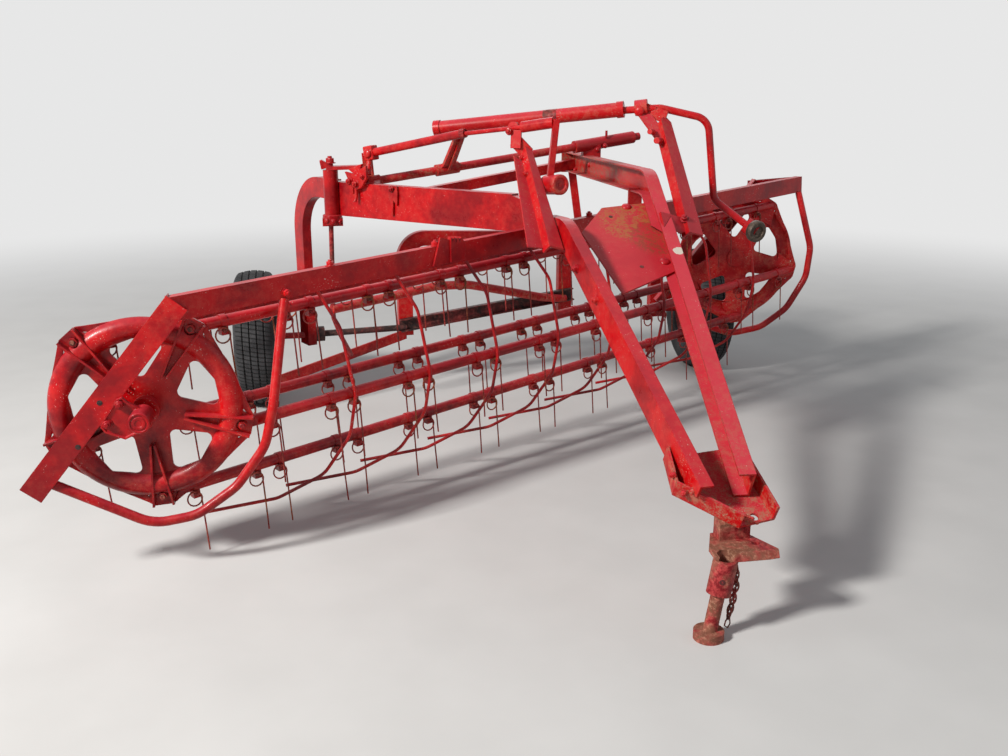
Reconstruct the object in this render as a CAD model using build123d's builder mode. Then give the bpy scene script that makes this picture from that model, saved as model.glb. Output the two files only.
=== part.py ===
# Bar rake, as it stands parked on its wheels and its jack. All sizes in millimetres.
# Frame: X to the right seen from the hitch end, Y rearward along the wheels' planes, Z up from the ground.
import os
from math import cos, radians, sin

from build123d import *

os.makedirs("parts", exist_ok=True)

# Reel and basket
reel_axis_height = 556.0  # left head's centre above the ground
basket_tilt = 3.5  # the right end of the basket stands higher
bar_angle = 60.0  # tine bars from the line of travel
bar_span = 3030.0  # between the pivots of one bar, head to head
pivot_radius = 302.0  # bar pivots about each head's axis
first_lobe_angle = 127.0
bar_count = 5
lobe_step = 360.0 / bar_count
pin_clearance = 0.3  # radial, at every pin and shaft

bar_tube_radius = 20.0
bar_tube_wall = 4.0
end_plug = 60.0  # solid end of each bar, for its pin
pivot_pin_radius = 11.0
pin_nut_radius = 15.0
bar_end_gap = 5.5  # bar's mitred end to the lobe's face
lobe_thickness = 12.0
lobe_reach = 34.0  # lobe beyond its pin

ring_outer = 300.0
ring_inner = 226.0
ring_bulge = 34.0
dish_thickness = 8.0
hub_radius = 44.0
hub_length = 52.0
window_inner = 96.0
window_outer = 228.0
window_half_angle = 24.0
head_shaft_radius = 19.0
head_shaft_length = 150.0

pair_count = 8
pair_pitch = 325.0
pair_spacing = 92.0  # the two teeth of one pair, a stripper between them
end_tooth = 105.0  # single tooth at each end of a bar, from its pivot
tooth_wire = 6.6
tooth_coil = 25.0
tooth_drop = 240.0  # tooth tip below the bar's axis
clip_width = 24.0
clip_depth = 30.0
coil_drop = 13.8  # top of the coil below the bar's axis

beam_depth = 76.0
beam_flange = 40.0
beam_wall = 5.0
beam_middle = 331.0  # above the heads' axis, in the basket
beam_left = (140.0, -100.0)
beam_overhang = (386.0, 75.0)  # beam's right end beyond the right head's centre
return_inset = 15.0  # return channel's start, short of the beam's end
slope_angle = 47.0
slope_length = 750.0
web_stand_off = 101.0  # end channel's web face from the head's plane

stripper_radius = 6.0
stripper_bend = 110.0
guard_radius = 16.0
guard_bend = 150.0
stay_bend = 420.0

# Wheels
tyre_radius = 335.0
tyre_width = 190.0
rim_radius = 195.0
left_wheel = (231.0, 1820.0)
right_wheel = (2670.0, 2100.0)
axle_radius = 16.0

# All places below are measured from the ground under the left head's centre; the files have the machine's middle there.
machine_middle = (1320.0, 812.0)
basket_at = Location((0, 0, reel_axis_height), (0, -basket_tilt, 0))
ba = radians(bar_angle)
bar_dir = Vector(sin(ba), cos(ba), 0)
right_centre = bar_dir * bar_span
beam_right = (right_centre.X + beam_left[0], right_centre.Y - beam_left[1])
beam_right_end = (right_centre.X + beam_overhang[0], right_centre.Y + beam_overhang[1])
pair_step_y = pair_pitch * cos(ba)
first_pair = (bar_span - (pair_count - 1) * pair_pitch) / 2
tooth_places = [end_tooth, bar_span - end_tooth]
for n in range(pair_count):
    tooth_places += [first_pair + n * pair_pitch + side * pair_spacing / 2 for side in (-1, 1)]


def finish(piece, label, place=Location()):
    """Names a finished piece, writes its file in the machine's frame, and returns it in the reel's frame."""
    placed = place * piece
    placed.label = label
    written = Location((-machine_middle[0], -machine_middle[1], 0)) * placed
    written.label = label
    export_step(written, f"parts/{label}.step")
    print(label, round(placed.volume / 1000), "cm3", len(placed.solids()), "solids")
    return placed


def on_circle(radius, angle, y=0.0):
    return Vector(radius * cos(radians(angle)), y, radius * sin(radians(angle)))


def flat_polar(radius, angle):
    return (radius * cos(radians(angle)), radius * sin(radians(angle)))


def rod_along(points, radius, bend=0.0, bore=0.0):
    """A round rod or tube along straight stretches, with arcs of one radius at the bends."""
    with BuildPart() as rod:
        with BuildLine():
            path = FilletPolyline(*points, radius=bend) if len(points) > 2 else Line(*points)
        with BuildSketch(Plane(origin=path @ 0, z_dir=path % 0)):
            Circle(radius)
            if bore:
                Circle(bore, mode=Mode.SUBTRACT)
        sweep()
    return rod.part


def channel(start, end, web_normal, depth, flange, wall):
    """A straight channel. Its web's outer face lies on the line from start to end, facing web_normal."""
    start, end = Vector(*start), Vector(*end)
    run = end - start
    along = run.normalized()
    normal = Vector(*web_normal)
    normal = (normal - along * normal.dot(along)).normalized()
    with BuildPart() as piece:
        with BuildSketch(Plane(origin=start, x_dir=-normal, z_dir=run)):
            Rectangle(flange, depth, align=(Align.MIN, Align.CENTER))
            with Locations((wall, 0)):
                Rectangle(flange, depth - 2 * wall, align=(Align.MIN, Align.CENTER), mode=Mode.SUBTRACT)
        extrude(amount=run.length)
    return piece.part


def bar_between(start, end, width, thickness, up=(0, 0, 1)):
    """A flat or square bar between two points, its width along up as near as it can be."""
    start, end = Vector(*start), Vector(*end)
    run = end - start
    along = run.normalized()
    side = Vector(*up)
    side = (side - along * side.dot(along)).normalized()
    with BuildPart() as piece:
        with BuildSketch(Plane(origin=start, x_dir=side, z_dir=run)):
            Rectangle(width, thickness)
        extrude(amount=run.length)
    return piece.part


def bent_channel(points, radius, depth, flange, wall, open_side):
    """A channel bent in one upright plane: its web lies in the plane, its flanges stand toward open_side."""
    first, last = Vector(*points[0]), Vector(*points[-1])
    level = Vector(last.X - first.X, last.Y - first.Y, 0).normalized()
    normal = Vector(-level.Y, level.X, 0)
    if normal.dot(Vector(*open_side)) < 0:
        normal = -normal
    web = Plane(origin=first, x_dir=level, z_dir=normal)
    flat = [web.to_local_coords(Vector(*p)) for p in points]
    flat = [(p.X, p.Y) for p in flat]
    with BuildPart() as piece:
        with BuildSketch(web) as outer:
            with BuildLine():
                FilletPolyline(*flat, radius=radius)
            trace(line_width=depth)
        extrude(amount=flange)
        with BuildSketch(web.offset(wall)) as inner:
            with BuildLine():
                FilletPolyline(*flat, radius=radius)
            trace(line_width=depth - 2 * wall)
        extrude(amount=flange, mode=Mode.SUBTRACT)
    return piece.part


def joined(pieces, cutters=(), keep=1):
    """Solids welded into one, cut back to the faces they butt against, without the offcuts."""
    with BuildPart() as body:
        add(pieces)
        for cutter in cutters:
            add(cutter, mode=Mode.SUBTRACT)
    kept = body.part.solids().sort_by(SortBy.VOLUME)[-keep:]
    return kept[0] if keep == 1 else Compound(kept)


def half_space(origin, normal, reach=3500):
    """All that lies beyond a plane, for cutting a piece back to it."""
    with BuildPart() as block:
        with BuildSketch(Plane(origin=origin, z_dir=normal)):
            Rectangle(2 * reach, 2 * reach)
        extrude(amount=reach)
    return block.part


def side_plane(y):
    """Upright plane across the line of travel, seen from the hitch: local x is X, local y is Z."""
    return Plane(origin=(0, y, 0), x_dir=(1, 0, 0), z_dir=(0, -1, 0))


# Reel heads: pressed dishes with five lobes. The bulge faces outward (-1 front, +1 rear), the bars the other way.
def reel_head(outward):
    o = outward
    ring_middle = (ring_inner + ring_outer) / 2
    with BuildPart() as head:
        with BuildSketch(Plane.YZ):
            with BuildLine():
                Polyline((o * dish_thickness, ring_inner), (o * dish_thickness, 20), (0, 20), (0, ring_inner))
                ThreePointArc(
                    (0, ring_inner), (o * (ring_bulge - dish_thickness), ring_middle), (0, ring_outer - 8)
                )
                Polyline((0, ring_outer - 8), (0, ring_outer), (o * dish_thickness, ring_outer))
                ThreePointArc(
                    (o * dish_thickness, ring_outer), (o * ring_bulge, ring_middle), (o * dish_thickness, ring_inner)
                )
            make_face()
        revolve(axis=Axis.Y)
        for n in range(bar_count):
            with BuildSketch(side_plane(o * lobe_thickness)):
                with Locations(flat_polar(pivot_radius, first_lobe_angle - n * lobe_step)):
                    Circle(pin_nut_radius + 4)
            extrude(amount=-o * ring_bulge, mode=Mode.SUBTRACT)
        for n in range(bar_count):
            angle = first_lobe_angle - (n + 0.5) * lobe_step
            with BuildSketch(side_plane(0)) as window:
                with BuildLine():
                    Polyline(
                        flat_polar(window_inner, angle),
                        flat_polar(window_outer, angle - window_half_angle),
                        flat_polar(window_outer * 1.04, angle),
                        flat_polar(window_outer, angle + window_half_angle),
                        close=True,
                    )
                make_face()
                fillet(window.vertices(), 20)
            extrude(amount=60, both=True, mode=Mode.SUBTRACT)
        for n in range(bar_count):
            angle = first_lobe_angle - n * lobe_step
            with BuildSketch(side_plane(0)) as lobe:
                with BuildLine():
                    Polyline(
                        flat_polar(ring_inner + 10, angle - 18),
                        flat_polar(pivot_radius + lobe_reach, angle - 5),
                        flat_polar(pivot_radius + lobe_reach, angle + 5),
                        flat_polar(ring_inner + 10, angle + 18),
                        close=True,
                    )
                make_face()
            extrude(amount=-o * lobe_thickness)
            for side in (-1, 1):
                rib_start = flat_polar(pivot_radius + lobe_reach - 3, angle + side * 5.5)
                rib_end = flat_polar(120, angle + side * 3)
                with BuildSketch(side_plane(0)):
                    with BuildLine():
                        Line(rib_start, rib_end)
                    trace(line_width=7)
                extrude(amount=-o * (ring_bulge + 2))
        with BuildSketch(side_plane(o * -8)):
            Circle(hub_radius)
        extrude(amount=-o * hub_length)
        with BuildSketch(side_plane(o * 20)):
            Circle(head_shaft_radius)
        extrude(amount=-o * (head_shaft_length - 20))
        for n in range(bar_count):
            with BuildSketch(side_plane(0)):
                with Locations(flat_polar(pivot_radius, first_lobe_angle - n * lobe_step)):
                    Circle(pivot_pin_radius + pin_clearance)
            extrude(amount=60, both=True, mode=Mode.SUBTRACT)
    return head.part


finish(reel_head(-1), "reel_head_left", basket_at)
finish(reel_head(1), "reel_head_right", basket_at * Location(right_centre))


# Tine bars: an oblique tube between two pins that lie along the line of travel, with a clip under it for each tooth.
def tine_bar():
    with BuildPart() as bar:
        with BuildSketch(Plane(origin=-bar_dir * 40, x_dir=(0, 0, 1), z_dir=bar_dir)):
            Circle(bar_tube_radius)
        extrude(amount=bar_span + 80)
        with BuildSketch(Plane(origin=bar_dir * end_plug, x_dir=(0, 0, 1), z_dir=bar_dir)):
            Circle(bar_tube_radius - bar_tube_wall)
        extrude(amount=bar_span - 2 * end_plug, mode=Mode.SUBTRACT)
        with BuildSketch(side_plane(bar_end_gap)):
            Rectangle(400, 400)
        extrude(amount=200, mode=Mode.SUBTRACT)
        with BuildSketch(side_plane(right_centre.Y - bar_end_gap)):
            with Locations((right_centre.X, 0)):
                Rectangle(400, 400)
        extrude(amount=-200, mode=Mode.SUBTRACT)
        for end, o in ((Vector(0, 0, 0), -1), (right_centre, 1)):
            with BuildSketch(side_plane(end.Y - o * 16)):
                with Locations((end.X, 0)):
                    Circle(pivot_pin_radius)
            extrude(amount=-o * (16 + lobe_thickness + 4))
            with BuildSketch(side_plane(end.Y + o * (lobe_thickness + 1.0))):
                with Locations((end.X, 0)):
                    RegularPolygon(pin_nut_radius, 6)
            extrude(amount=-o * 12)
        for place in tooth_places:
            at = bar_dir * (place - clip_width / 2)
            with BuildSketch(Plane(origin=at, x_dir=(0, 0, 1), z_dir=bar_dir)):
                with Locations((-bar_tube_radius + 6, 0)):
                    Rectangle(clip_depth, clip_depth, align=(Align.MAX, Align.CENTER))
            extrude(amount=clip_width)
    return bar.part


# Teeth: a wire coil against the clip's front face, its tail hanging straight. The repeated coil has eight sides.
def teeth():
    across = Vector(cos(ba), -sin(ba), 0)
    coil_middle = -(tooth_coil + tooth_wire / 2) - coil_drop
    with BuildPart() as set_of_teeth:
        for place in tooth_places:
            face = Plane(origin=bar_dir * place + across * clip_depth / 2, x_dir=bar_dir, z_dir=across)
            with BuildSketch(face):
                with Locations((-tooth_coil / 2, coil_middle)):
                    RegularPolygon(tooth_coil + tooth_wire / 2, 8, major_radius=False, rotation=22.5)
                with Locations((tooth_coil / 2, -tooth_drop)):
                    Rectangle(tooth_wire, tooth_drop + coil_middle, align=(Align.CENTER, Align.MIN))
                with Locations((-tooth_coil / 2, coil_middle)):
                    RegularPolygon(
                        tooth_coil - tooth_wire / 2, 8, major_radius=False, rotation=22.5, mode=Mode.SUBTRACT
                    )
            extrude(amount=tooth_wire)
    return set_of_teeth.part


bar_piece, teeth_piece = tine_bar(), teeth()
for n in range(bar_count):
    bar_at = basket_at * Location(on_circle(pivot_radius, first_lobe_angle - n * lobe_step))
    finish(bar_piece, f"tine_bar_{n + 1}", bar_at)
    finish(teeth_piece, f"teeth_{n + 1}", bar_at)


# Basket: a front beam over the reel, a sloped channel outside each head and a short return channel at the right.
slope_dir = Vector(-cos(radians(slope_angle)), 0, -sin(radians(slope_angle)))
beam_run = Vector(beam_right_end[0] - beam_left[0], beam_right_end[1] - beam_left[1], 0)
beam_slope = beam_run.Y / beam_run.X
beam_normal = Vector(beam_run.Y, -beam_run.X, 0).normalized()
frame_pieces = [
    channel(
        (*beam_left, beam_middle), (*beam_right_end, beam_middle), beam_normal, beam_depth, beam_flange, beam_wall
    )
]
for (x, y), o in ((beam_left, -1), (beam_right, 1)):
    top = Vector(x, y + o, beam_middle)
    frame_pieces.append(
        channel(top - slope_dir * 26, top + slope_dir * slope_length, (0, o, 0), beam_depth, beam_flange, beam_wall)
    )
    end = top + slope_dir * slope_length - Vector(0, o * beam_flange / 2, 0)
    frame_pieces.append(bar_between(end - slope_dir * beam_wall, end, beam_flange, beam_depth, up=(0, 1, 0)))
return_y = beam_right[1] + 18
return_z = beam_middle - beam_depth / 2 + beam_wall
frame_pieces.append(
    channel(
        (beam_right_end[0] - return_inset, return_y, return_z),
        (beam_right[0] - 20, return_y, return_z),
        (0, 0, -1),
        34,
        beam_depth - 2 * beam_wall,
        beam_wall,
    )
)
hook_at = Plane(
    origin=(1026, beam_left[1] + (1026 - beam_left[0]) * beam_slope, 0), x_dir=beam_run, z_dir=beam_normal
)
with BuildPart() as hook_plate:
    with BuildSketch(hook_at):
        with BuildLine():
            Polyline((-40, 300), (0, 400), (48, 383), (110, 303), close=True)
        make_face()
    extrude(amount=8)
    with BuildSketch(hook_at.offset(-4)):
        with BuildLine():
            Polyline(
                (36, 303), (42, 398), (50, 374), (58, 396), (66, 372), (74, 394), (82, 370), (90, 390), (108, 362),
                (100, 303), close=True,
            )
        make_face()
    extrude(amount=20)
with BuildPart() as basket_frame:
    add(frame_pieces + [hook_plate.part])
basket = finish(basket_frame.part, "basket_frame", basket_at)


# Bearing housings: a three-sided casting bolted to each end channel, its boss round the head's shaft.
def bearing(o):
    with BuildPart() as housing:
        with BuildSketch(side_plane(o * web_stand_off)) as plate:
            with BuildLine():
                Polyline((-30, -28), (-122, 72), (-62, 132), (30, 36), (28, -28), close=True)
            make_face()
            fillet(plate.vertices(), 12)
        extrude(amount=-o * 14)
        with BuildSketch(side_plane(o * (web_stand_off - 34))):
            Circle(34)
        extrude(amount=-o * 98)
        with BuildSketch(side_plane(o * 20)):
            Circle(head_shaft_radius + pin_clearance)
        extrude(amount=-o * (head_shaft_length - 18), mode=Mode.SUBTRACT)
    return housing.part


finish(bearing(-1), "bearing_left", basket_at)
finish(bearing(1), "bearing_right", basket_at * Location(right_centre))

# Strippers: thin rods between the teeth, from the beam down round the reel's front and back under it.
stripper_shape = [(344, 160), (372, -85), (338, -232), (232, -366), (60, -436), (-200, -456)]
tooth_shift = (clip_depth + tooth_wire) / 2 * sin(ba)
for_tan = sin(ba) / cos(ba)
stripper_rods = []
for n in range(pair_count):
    y = (first_pair + n * pair_pitch) * cos(ba) - tooth_shift - 4
    top_x = beam_left[0] + (y - beam_left[1]) / beam_slope - 24
    shape = [(top_x, y, beam_middle - beam_depth / 2 + 3)] + [(y * for_tan + x, y, z) for x, z in stripper_shape]
    stripper_rods.append(rod_along(shape, stripper_radius, bend=stripper_bend))
strippers = finish(joined(stripper_rods, [basket_frame.part], keep=pair_count), "strippers", basket_at)

guard_left = [
    (466, 96, 292), (396, -8, -30), (352, -18, -170), (246, -36, -292), (110, -56, -368), (-30, -64, -376),
    (-330, -76, -180),
]
guard_right = [
    (right_centre.X + x, right_centre.Y + y, z)
    for x, y, z in (
        (364, 65, 292), (398, -15, 20), (374, -19, -130), (271, -18, -284), (132, -15, -370), (-24, -9, -388),
        (-254, 15, -300),
    )
]
guards = [rod_along(line, guard_radius, bend=guard_bend) for line in (guard_left, guard_right)]
finish(joined(guards, [basket_frame.part], keep=2), "end_guards", basket_at)

# The hitch tray's plane and walls, which the legs are cut back to.
leg_slope = 29.4
hitch_origin = Vector(1726, -520, 382.3)
hitch = Plane(
    origin=hitch_origin, x_dir=(1, 0, 0), z_dir=(0, -sin(radians(leg_slope)), cos(radians(leg_slope)))
)
hitch_thickness = 8.0
hitch_wall_height = 62.0


def on_hitch(x, y):
    """A point of the hitch plate's own sketch above one place on the ground."""
    return (x - hitch_origin.X, (y - hitch_origin.Y) / cos(radians(leg_slope)))


hitch_left_wall = [on_hitch(1595.2, -430), on_hitch(1586, -549), on_hitch(1752, -671)]
hitch_right_wall = [on_hitch(1828, -410), on_hitch(1840, -500), on_hitch(1864, -655)]
with BuildPart() as before_hitch:
    with BuildSketch(hitch.offset(-60)):
        with BuildLine():
            Polyline(
                hitch_left_wall[1], hitch_left_wall[2], on_hitch(1700, -820), on_hitch(1480, -640), close=True
            )
        make_face()
    extrude(amount=60 + hitch_wall_height)

# Main frame: two bent legs from the hitch over the reel, joined at the left rear by a post.
leg_left_line = [(1624.6, -635, 385.3), (1477.5, 500, 1012), (1454, 678, 1006)]
leg_right_line = [(1812, -612, 405), (1937, 790, 1165), (1947, 900, 1165)]
leg_right_rear = [(1944, 868, 1165), (1912, 2080, 1165)]
leg_depth = 102.0
leg_flange = 45.0
leg_flange_right = 52.0
leg_wall = 7.0
leg_left_normal = Vector(0.9915, 0.1285, 0).normalized()
leg_right_normal = Vector(-0.9961, 0.0888, 0).normalized()
post_centre = (627.0, 1450.0)
post_radius = 34.0
post_bottom = 935.0
post_top = 1185.0

with BuildPart() as post_round:
    with BuildSketch(Plane(origin=(*post_centre, post_bottom))):
        Circle(post_radius)
    extrude(amount=post_top - post_bottom)

hanger_right = bar_between((1915, 985, 1035), (1915, 985, 1125), 60, 12, up=(1, 0, 0))
leg_left = bent_channel(leg_left_line, 180, leg_depth, leg_flange, leg_wall, open_side=(1, 0, 0))
leg_right = bent_channel(leg_right_line, 200, leg_depth, leg_flange_right, leg_wall, open_side=(-1, 0, 0))
leg_rear = channel(*leg_right_rear, (1, 0.02, 0), leg_depth, leg_flange_right, leg_wall)
rear_plate = bar_between((1884, 2078, 1165), (1884, 2088, 1165), 116, 72)
frame_leg_left = finish(joined([leg_left], [basket, before_hitch.part]), "frame_leg_left")
frame_leg_right = finish(joined([leg_right, leg_rear, rear_plate, hanger_right], [basket]), "frame_leg_right")

side_beam = joined(
    [
        channel((640, 1459, 1055), (1338, 790, 1055), (-0.69, -0.73, 0), 150, 50, leg_wall),
        channel((1314, 813, 1060), (1520, 615, 985), (-0.69, -0.73, 0), 142, 50, leg_wall),
    ],
    [post_round.part, half_space(leg_left_line[0], leg_left_normal), basket],
)
wheel_leg_line = [(634, 1452, 1095), (462, 1812, 1095), (462, 1812, 290)]
leg_arch_left = joined(
    [bent_channel(wheel_leg_line, 230, 92, leg_flange, leg_wall, open_side=(1, 0.3, 0))], [post_round.part]
)
cross_beam = joined(
    [channel((655, 1486, 995), (1905, 2012, 1153), (0.388, -0.92, 0), 50, 40, 6)],
    [post_round.part, side_beam, leg_arch_left, frame_leg_right],
)
clamp = bar_between((post_centre[0], post_centre[1], post_bottom), (post_centre[0], post_centre[1], 968), 92, 60, up=(1, 0, 0))
post = finish(joined([post_round.part, clamp], [leg_arch_left, side_beam, cross_beam]), "post_left")

# Rear frame: an arch along the reel's back that stands on the right wheel, tied to the post and the drive shaft.
arch_line = [(985, 1905, 290), (985, 1905, 800), (2415, 2105, 735), (2415, 2105, 290)]
arch_depth = 76.0
arch_flange = 40.0
arch_wall = 6.0
arch_dir = Vector(1430, 200, 0).normalized()
arch_normal = Vector(-arch_dir.Y, arch_dir.X, 0)
arch = bent_channel(arch_line, 110, arch_depth, arch_flange, arch_wall, open_side=(0, 1, 0))


def on_arch(run, z):
    """A point on the arch's front face, some way along it from its left leg."""
    return Vector(*arch_line[0][:2], 0) + arch_dir * run + Vector(0, 0, z)


def stub_axle(inward):
    with BuildPart() as stub:
        with BuildSketch(Plane.YZ.offset(-inward * 18)):
            Circle(axle_radius)
        extrude(amount=inward * 262)
    return stub.part


wheel_place = {
    "left": Location((*left_wheel, tyre_radius)),
    "right": Location((*right_wheel, tyre_radius)),
}
leg_left_axle = joined([leg_arch_left, wheel_place["left"] * stub_axle(1)])
finish(leg_left_axle, "wheel_leg_left")
middle_run = 889.0
middle_leg = joined(
    [channel(on_arch(middle_run, 330), on_arch(middle_run, 724), -arch_normal, arch_depth, arch_flange, arch_wall)],
    [arch],
)
arch_axle = joined([arch, middle_leg, wheel_place["right"] * stub_axle(-1)])
finish(arch_axle, "rear_arch")
strap = joined(
    [bar_between((1893, 2040, 1130), (1952, 2060, 770), 40, 10, up=(1, 0, 0))], [frame_leg_right, arch, cross_beam]
)
finish(strap, "hanger_strap")
rear_bar = channel(on_arch(-35, 347), on_arch(930, 458), arch_normal, 66, 30, arch_wall)
finish(rear_bar, "rear_bar")
shaft = joined(
    [
        rod_along([(455, 1822, 335), (985, 1900, 335)], 16),
        rod_along([(455, 1822, 335), (560, 1837.5, 335)], 38),
    ],
    [leg_left_axle, half_space(Vector(462, 1812, 0), Vector(-0.93, -0.4, 0)), half_space(on_arch(0, 0), arch_normal),
     rear_bar],
)
finish(shaft, "drive_shaft")
lift_rod = joined(
    [
        rod_along([(619, 1450, post_bottom), (608, 1450, 545), (688, 1643, 262)], 11, bend=40),
        bar_between((330, 1500, 190), (1000, 1920, 300), 50, 10),
    ],
    [half_space(on_arch(0, 0), arch_normal), post, rear_bar],
)
finish(lift_rod, "lift_rod")
stay_line = [
    (604, 1448, 543), (875, 1600, 560), (1129, 1720, 584), (1298, 1802, 570), (1478, 1882, 520),
    (1713, 1970, 456), (1864, 2018, 430),
]
pipe = joined(
    [rod_along(stay_line, 22, bend=stay_bend)], [lift_rod, half_space(on_arch(0, 0), arch_normal), rear_bar]
)
finish(pipe, "stay_pipe")


# Wheels: car-type tyres on plain discs, each turning on its stub axle.
def tyre():
    half = tyre_width / 2
    with BuildPart() as body:
        with BuildSketch(Plane.XZ):
            with BuildLine():
                Polyline((-half + 22, rim_radius), (-half + 4, rim_radius + 30))
                ThreePointArc(
                    (-half + 4, rim_radius + 30), (-half, rim_radius + 75), (-half + 22, tyre_radius - 12)
                )
                ThreePointArc((-half + 22, tyre_radius - 12), (0, tyre_radius), (half - 22, tyre_radius - 12))
                ThreePointArc((half - 22, tyre_radius - 12), (half, rim_radius + 75), (half - 4, rim_radius + 30))
                Polyline((half - 4, rim_radius + 30), (half - 22, rim_radius), (-half + 22, rim_radius))
            make_face()
        revolve(axis=Axis.X)
    return body.part


def rim(inward):
    half = tyre_width / 2 - 22
    with BuildPart() as body:
        with BuildSketch(Plane.XZ):
            with BuildLine():
                Polyline(
                    (-half, rim_radius), (half, rim_radius), (half, rim_radius - 6), (half - 18, rim_radius - 24),
                    (-half + 18, rim_radius - 24), (-half, rim_radius - 6), close=True,
                )
            make_face()
        revolve(axis=Axis.X)
        with BuildSketch(Plane.YZ.offset(-4)):
            Circle(rim_radius - 18)
        extrude(amount=8)
        with BuildSketch(Plane.YZ.offset(-inward * 35)):
            Circle(48)
        extrude(amount=inward * 130)
        with BuildSketch(Plane.YZ.offset(-inward * 20)):
            Circle(axle_radius + pin_clearance)
        extrude(amount=inward * 200, mode=Mode.SUBTRACT)
    return body.part


for side, inward in (("left", 1), ("right", -1)):
    finish(tyre(), f"tyre_{side}", wheel_place[side])
    finish(rim(inward), f"rim_{side}", wheel_place[side])

# Hitch: a folded plate round the legs' lower ends, a clevis plate under it and the parking jack.
with BuildPart() as hitch_plate:
    with BuildSketch(hitch):
        with BuildLine():
            Polyline(*hitch_left_wall, *hitch_right_wall[::-1], close=True)
        make_face()
    extrude(amount=hitch_thickness)
    for wall in (hitch_left_wall, hitch_right_wall):
        with BuildSketch(hitch):
            with BuildLine():
                Polyline(*wall)
            trace(line_width=hitch_thickness)
        extrude(amount=hitch_wall_height)
    with BuildSketch(hitch):
        with Locations(on_hitch(1806, -645)):
            Circle(13)
    extrude(amount=hitch_thickness, mode=Mode.SUBTRACT)
hitch_solid = joined([hitch_plate.part], [frame_leg_left, frame_leg_right])
finish(hitch_solid, "hitch_plate")

clevis_bottom = 240.0
clevis_thickness = 14.0
hitch_pin = (1797.0, -690.0)
hitch_pin_radius = 13.0
with BuildPart() as clevis:
    with BuildSketch(Plane(origin=(0, 0, clevis_bottom))):
        with BuildLine():
            Polyline(
                (1690, -600), (1790, -600), (1848, -735), (1838, -768), (1740, -782), (1648, -750), (1652, -690),
                close=True,
            )
        make_face()
    extrude(amount=clevis_thickness)
    with BuildSketch(Plane(origin=(*hitch_pin, clevis_bottom))):
        Circle(hitch_pin_radius)
    extrude(amount=clevis_thickness, mode=Mode.SUBTRACT)
    with BuildSketch(Plane(origin=(1745, -632, clevis_bottom))):
        Rectangle(96, 50)
    extrude(amount=110)
jack_top = Vector(1702, -735, 330)
jack_foot = Vector(1636, -765, 0)
jack_run = (jack_foot - jack_top).normalized()
jack_length = (jack_foot - jack_top).length
jack = Plane(origin=jack_top, x_dir=(1, 0, 0.2), z_dir=jack_run)
jack_bore = 27.5
jack_wall = 8.5
jack_travel = 95.0
with BuildPart() as sleeve:
    with BuildSketch(jack):
        Circle(jack_bore + jack_wall)
    extrude(amount=200)
with BuildPart() as piston_way:
    with BuildSketch(jack.offset(-jack_travel)):
        Circle(jack_bore)
    extrude(amount=2 * jack_length)
under_tongue = half_space(Vector(0, 0, clevis_bottom + 1), Vector(0, 0, 1))
clevis_solid = joined(
    [clevis.part, joined([sleeve.part], [under_tongue])], [half_space(hitch_origin, hitch.z_dir), piston_way.part]
)
finish(clevis_solid, "hitch_clevis")
with BuildPart() as leg:
    with BuildSketch(jack.offset(115)):
        Circle(jack_bore - pin_clearance)
    extrude(amount=80)
    with BuildSketch(jack.offset(190)):
        Circle(21)
    extrude(amount=jack_length - 190 - 12)
    with BuildSketch(Plane(origin=(jack_foot.X, jack_foot.Y, 0))):
        Circle(45)
    extrude(amount=26)
finish(leg.part, "jack_leg")

# Uprights and lifting gear over the frame.
upright_left_line = (Vector(1445, 440, 966), Vector(1411, 820, 1312))
upright_right_line = (Vector(2006, 470, 1000), Vector(1988, 850, 1432))
upright_facing = Vector(0.35, -0.94, 0)


def upright_plane(line):
    """Front face of an upright: local x to the right, local y up along it."""
    rise = (line[1] - line[0]).normalized()
    facing = (upright_facing - rise * rise.dot(upright_facing)).normalized()
    return Plane(origin=line[0], x_dir=rise.cross(facing), z_dir=facing)


left_face = upright_plane(upright_left_line)
left_length = (upright_left_line[1] - upright_left_line[0]).length
with BuildPart() as upright_left_body:
    with BuildSketch(left_face):
        with BuildLine():
            Polyline((-32, 0), (34, 0), (16, left_length), (-14, left_length), close=True)
        make_face()
    extrude(amount=-8)
    with BuildSketch(left_face.offset(-8)):
        with BuildLine():
            Polyline((-32, 0), (-24, 0), (-6, left_length), (-14, left_length), close=True)
        make_face()
    extrude(amount=-38)
    with BuildSketch(left_face.offset(-40)):
        with BuildLine():
            Polyline((-26, 20), (-104, 8), (-50, left_length - 24), (-10, left_length - 50), close=True)
        make_face()
    extrude(amount=-6)
    with BuildSketch(left_face.offset(-8)):
        with Locations((20, 75)):
            Rectangle(100, 90)
    extrude(amount=-16)
    with BuildSketch(Plane(origin=(1352, 842, 1388), x_dir=(0.83, -0.55, 0), z_dir=(-0.55, -0.83, 0.1))):
        Circle(24)
        with Locations((14, -40)):
            Rectangle(44, 80)
    extrude(amount=-9)
    add(bar_between((1360, 842, 1340), (1412, 826, 1285), 54, 14, up=(0.83, -0.3, 0.4)))
crank_left = joined(
    [
        rod_along([(1130, 1073, 1350), (1385, 816, 1391)], 9),
        rod_along([(1385, 816, 1391), (1494, 720, 1412)], 22),
        bar_between((1500, 712, 1425), (1474, 712, 1165), 24, 24, up=(1, 0, 0)),
        rod_along([(1470, 735, 1170), (1505, 650, 1178)], 38),
    ]
)
left_web = half_space(leg_left_line[0], leg_left_normal)
upright_left = joined([upright_left_body.part], [frame_leg_left, side_beam, basket, left_web, crank_left])
finish(upright_left, "upright_left")
finish(crank_left, "crank_left")
crank_line = [(1700, 985, 1441), (1972, 867, 1462), (2165, 820, 1418), (2201, 800, 1091), (2330, 720, 985)]
crank_right = rod_along(crank_line, 15, bend=70)
knob_right = rod_along([(2318, 728, 993), (2356, 700, 962)], 34)
crank_right_solid = joined([crank_right, knob_right])
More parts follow.
